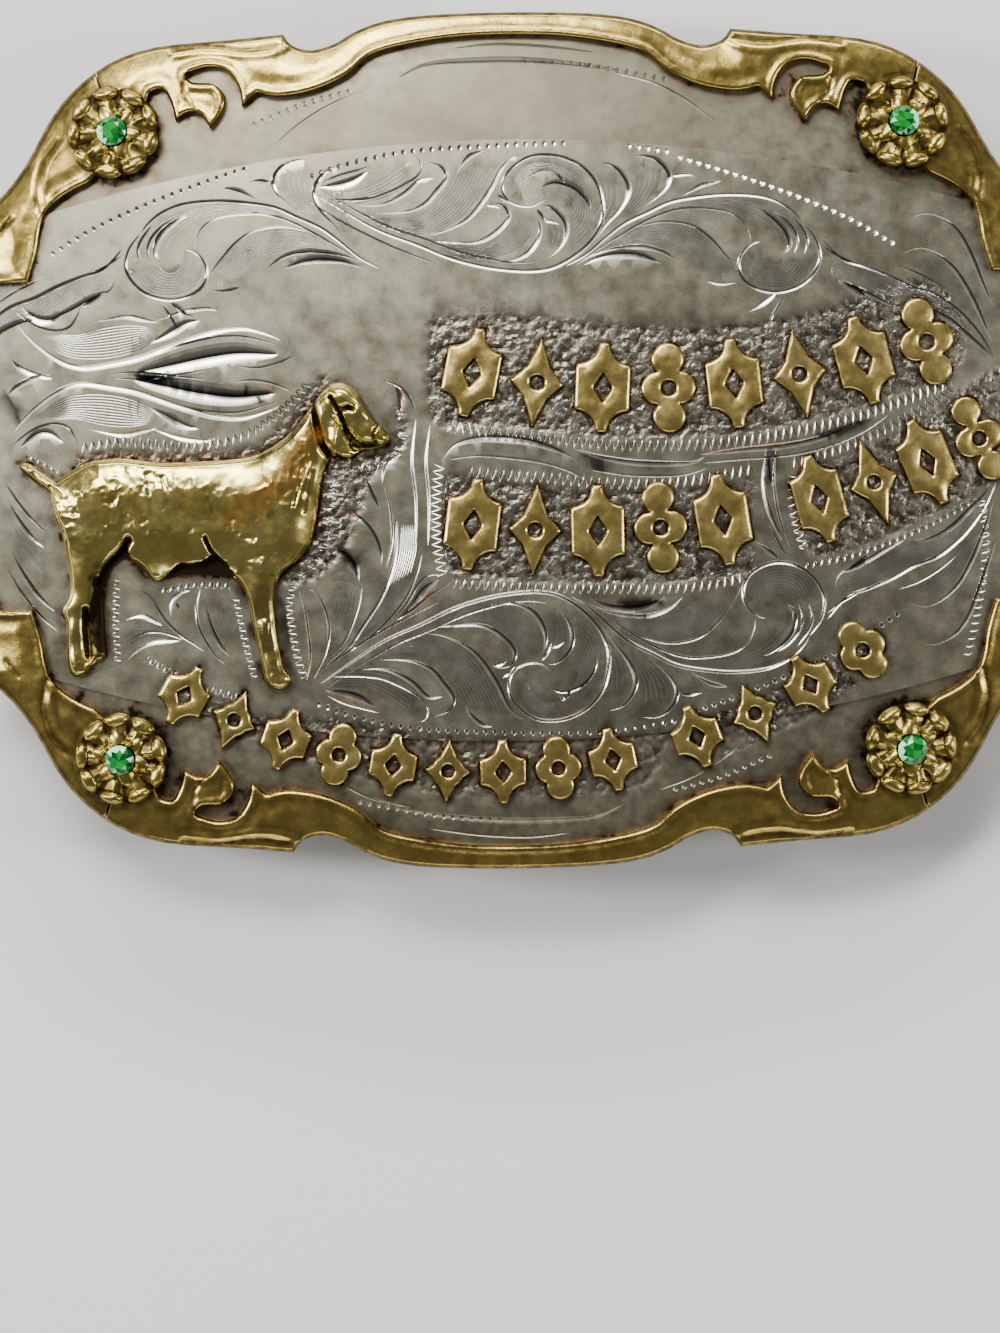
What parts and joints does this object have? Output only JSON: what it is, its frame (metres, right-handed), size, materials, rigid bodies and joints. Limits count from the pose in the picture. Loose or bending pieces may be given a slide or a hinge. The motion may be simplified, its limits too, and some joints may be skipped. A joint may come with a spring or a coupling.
{
  "type": "western trophy buckle",
  "caption": "Domed rectangular belt buckle: engraved silver plate, scalloped gold scroll edge, raised goat, corner flowers with green stones; wire belt loop and hook behind.",
  "frame": {"origin": "middle of the buckle at floor level, with the buckle lying face up on its belt loop and hook", "axes": "+X across the buckle towards the belt loop's side, +Y towards its top edge, +Z out of its front"},
  "size_m": [0.1142, 0.0858, 0.0173],
  "materials": {
    "satin_silver": "satin nickel silver with grey patina, domed",
    "engraved_silver": "polished nickel silver, bright-cut scroll engraving, dark patina in the cuts, stippled grounds",
    "trim_gold": "cast jeweller's bronze, polished, darkened in the recesses",
    "flower_gold": "cast jeweller's bronze, polished petals, dark creases",
    "figure_gold": "worn polished bronze, pitted, one copper-coloured tarnish patch on the neck",
    "ornament_gold": "polished bronze with softly bevelled edges, dark pierced holes",
    "green_stone": "clear cut green glass",
    "back_hardware": "plain nickel silver, lightly tarnished"
  },
  "bodies": {
    "root": {"base_plate": "satin_silver", "engraved_plate": "engraved_silver", "trim_bottom": "trim_gold", "trim_top": "trim_gold", "trim_left": "trim_gold", "trim_right": "trim_gold", "flower_bottom_left": "flower_gold", "flower_bottom_right": "flower_gold", "flower_top_left": "flower_gold", "flower_top_right": "flower_gold", "stone_bottom_left": "green_stone", "stone_bottom_right": "green_stone", "stone_top_left": "green_stone", "stone_top_right": "green_stone", "goat_figure": "figure_gold", "top_ornament_1": "ornament_gold", "top_ornament_2": "ornament_gold", "top_ornament_3": "ornament_gold", "top_ornament_4": "ornament_gold", "top_ornament_5": "ornament_gold", "top_ornament_6": "ornament_gold", "top_ornament_7": "ornament_gold", "top_ornament_8": "ornament_gold", "middle_ornament_1": "ornament_gold", "middle_ornament_2": "ornament_gold", "middle_ornament_3": "ornament_gold", "middle_ornament_4": "ornament_gold", "middle_ornament_5": "ornament_gold", "right_ornament_1": "ornament_gold", "right_ornament_2": "ornament_gold", "right_ornament_3": "ornament_gold", "right_ornament_4": "ornament_gold", "low_ornament_1": "ornament_gold", "low_ornament_2": "ornament_gold", "low_ornament_3": "ornament_gold", "low_ornament_4": "ornament_gold", "low_ornament_5": "ornament_gold", "low_ornament_6": "ornament_gold", "low_ornament_7": "ornament_gold", "low_ornament_8": "ornament_gold", "low_ornament_9": "ornament_gold", "end_ornament_1": "ornament_gold", "end_ornament_2": "ornament_gold", "end_ornament_3": "ornament_gold", "end_ornament_4": "ornament_gold", "belt_loop": "back_hardware", "hook_post": "back_hardware"}
  },
  "joints": []
}
